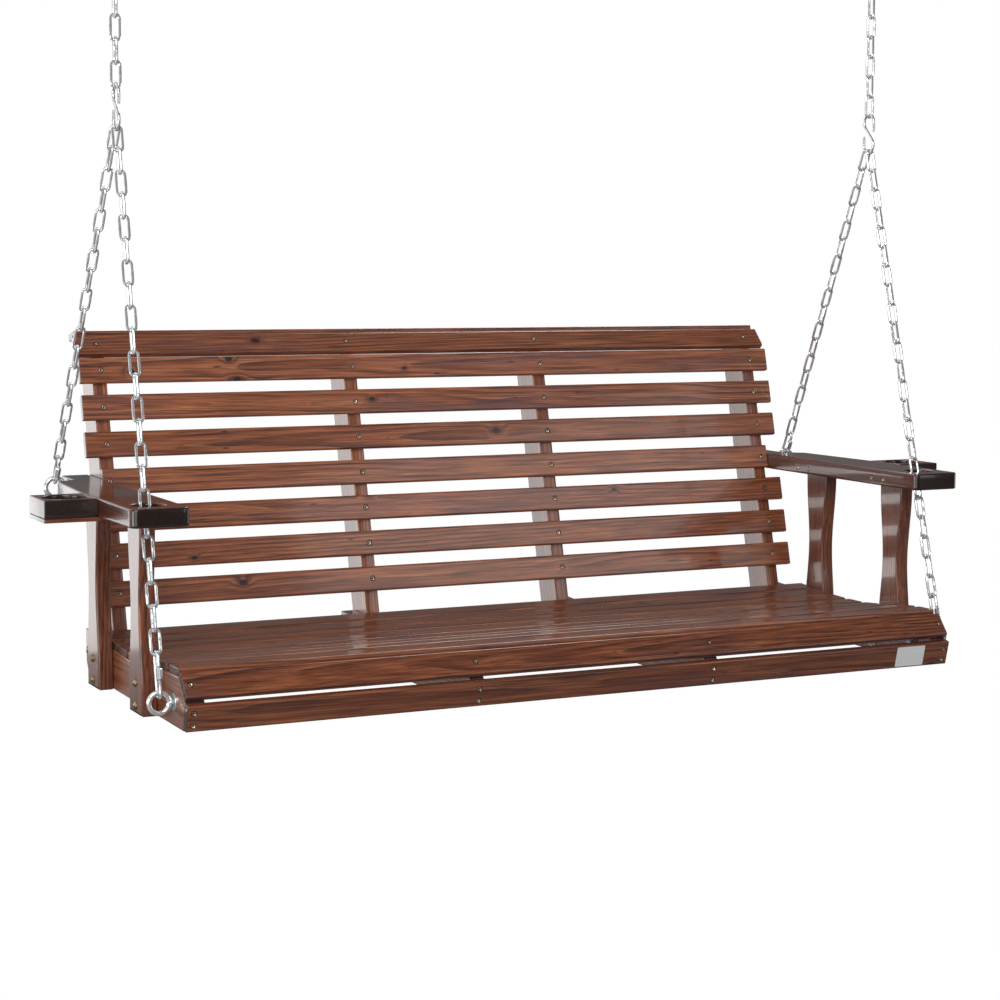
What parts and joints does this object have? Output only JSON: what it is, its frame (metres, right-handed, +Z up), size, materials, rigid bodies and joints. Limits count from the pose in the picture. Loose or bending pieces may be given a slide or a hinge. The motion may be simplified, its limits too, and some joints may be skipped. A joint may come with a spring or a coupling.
{
  "type": "porch swing",
  "caption": "Slatted wooden porch swing with a curved seat, leaning back, wide arms with cup holders, hung by chains that part to the front and rear of each end.",
  "frame": {"origin": "midway between the two ceiling eyes, on the underside of the ceiling they are screwed into", "axes": "+X to the right as seen from the front, +Y towards the back of the seat, +Z up; the seat faces -Y"},
  "size_m": [1.848, 0.7519, 1.6291],
  "materials": {
    "stained_wood": "satin lacquered softwood",
    "zinc_steel": "bright zinc plated",
    "antique_brass": "antique brass plated",
    "label_film": "satin film"
  },
  "bodies": {
    "ceiling": {"ceiling_eye_left": "zinc_steel", "ceiling_eye_right": "zinc_steel"},
    "left_top_link": {"top_link_left": "zinc_steel"},
    "left_chain": {"hanging_chain_left": "zinc_steel", "s_hook_left": "zinc_steel", "front_chain_left": "zinc_steel", "rear_chain_left": "zinc_steel", "quick_links_left": "zinc_steel"},
    "right_top_link": {"top_link_right": "zinc_steel"},
    "right_chain": {"hanging_chain_right": "zinc_steel", "s_hook_right": "zinc_steel", "front_chain_right": "zinc_steel", "rear_chain_right": "zinc_steel", "quick_links_right": "zinc_steel"},
    "bench": {"rail_left_outer": "stained_wood", "rail_left_inner": "stained_wood", "rail_right_inner": "stained_wood", "rail_right_outer": "stained_wood", "stile_left_outer": "stained_wood", "stile_left_inner": "stained_wood", "stile_right_inner": "stained_wood", "stile_right_outer": "stained_wood", "seat_slat_1": "stained_wood", "seat_slat_2": "stained_wood", "seat_slat_3": "stained_wood", "seat_slat_4": "stained_wood", "seat_slat_5": "stained_wood", "seat_slat_6": "stained_wood", "seat_slat_7": "stained_wood", "seat_slat_8": "stained_wood", "nose_board": "stained_wood", "apron": "stained_wood", "back_slat_1": "stained_wood", "back_slat_2": "stained_wood", "back_slat_3": "stained_wood", "back_slat_4": "stained_wood", "back_slat_5": "stained_wood", "back_slat_6": "stained_wood", "back_slat_7": "stained_wood", "head_board": "stained_wood", "cap_strip": "stained_wood", "arm_left": "stained_wood", "arm_right": "stained_wood", "front_post_left": "stained_wood", "front_post_right": "stained_wood", "back_post_left": "stained_wood", "back_post_right": "stained_wood", "cup_block_left": "stained_wood", "cup_block_right": "stained_wood", "cup_base_left": "stained_wood", "cup_base_right": "stained_wood", "seat_screws": "antique_brass", "back_screws": "antique_brass", "arm_screws": "antique_brass", "base_screws": "antique_brass", "frame_bolts": "antique_brass", "frame_nuts": "zinc_steel", "eye_bolts": "zinc_steel", "eye_nuts": "zinc_steel", "blank_label": "label_film"}
  },
  "joints": [
    {"name": "swing", "type": "hinge", "parent": "ceiling", "child": "left_top_link", "pos_m": [-0.775, 0, -0.0435], "axis": [1, 0, 0], "range_deg": [-30, 30]},
    {"name": "sway", "type": "hinge", "parent": "left_top_link", "child": "left_chain", "pos_m": [-0.775, 0, -0.0804], "axis": [0, 0.8835, 0.4685], "range_deg": [-2.5, 2.5]},
    {"name": "bench_levelling", "type": "hinge", "parent": "left_chain", "child": "bench", "pos_m": [-0.7965, 0.04107, -1.35815], "axis": [0, 0.8835, 0.4685], "range_deg": [-2.5, 2.5]},
    {"name": "right_link_swing", "type": "hinge", "parent": "ceiling", "child": "right_top_link", "pos_m": [0.775, 0, -0.0435], "axis": [1, 0, 0], "range_deg": [-30, 30]},
    {"name": "right_chain_sway", "type": "hinge", "parent": "right_top_link", "child": "right_chain", "pos_m": [0.775, 0, -0.0804], "axis": [0, 0.8835, 0.4685], "range_deg": [-2.5, 2.5]}
  ],
  "couplings": [
    {"joint": "right_link_swing", "follows": "swing", "ratio": 1},
    {"joint": "bench_levelling", "follows": "sway", "ratio": -0.97301},
    {"joint": "right_chain_sway", "follows": "sway", "ratio": 1}
  ]
}
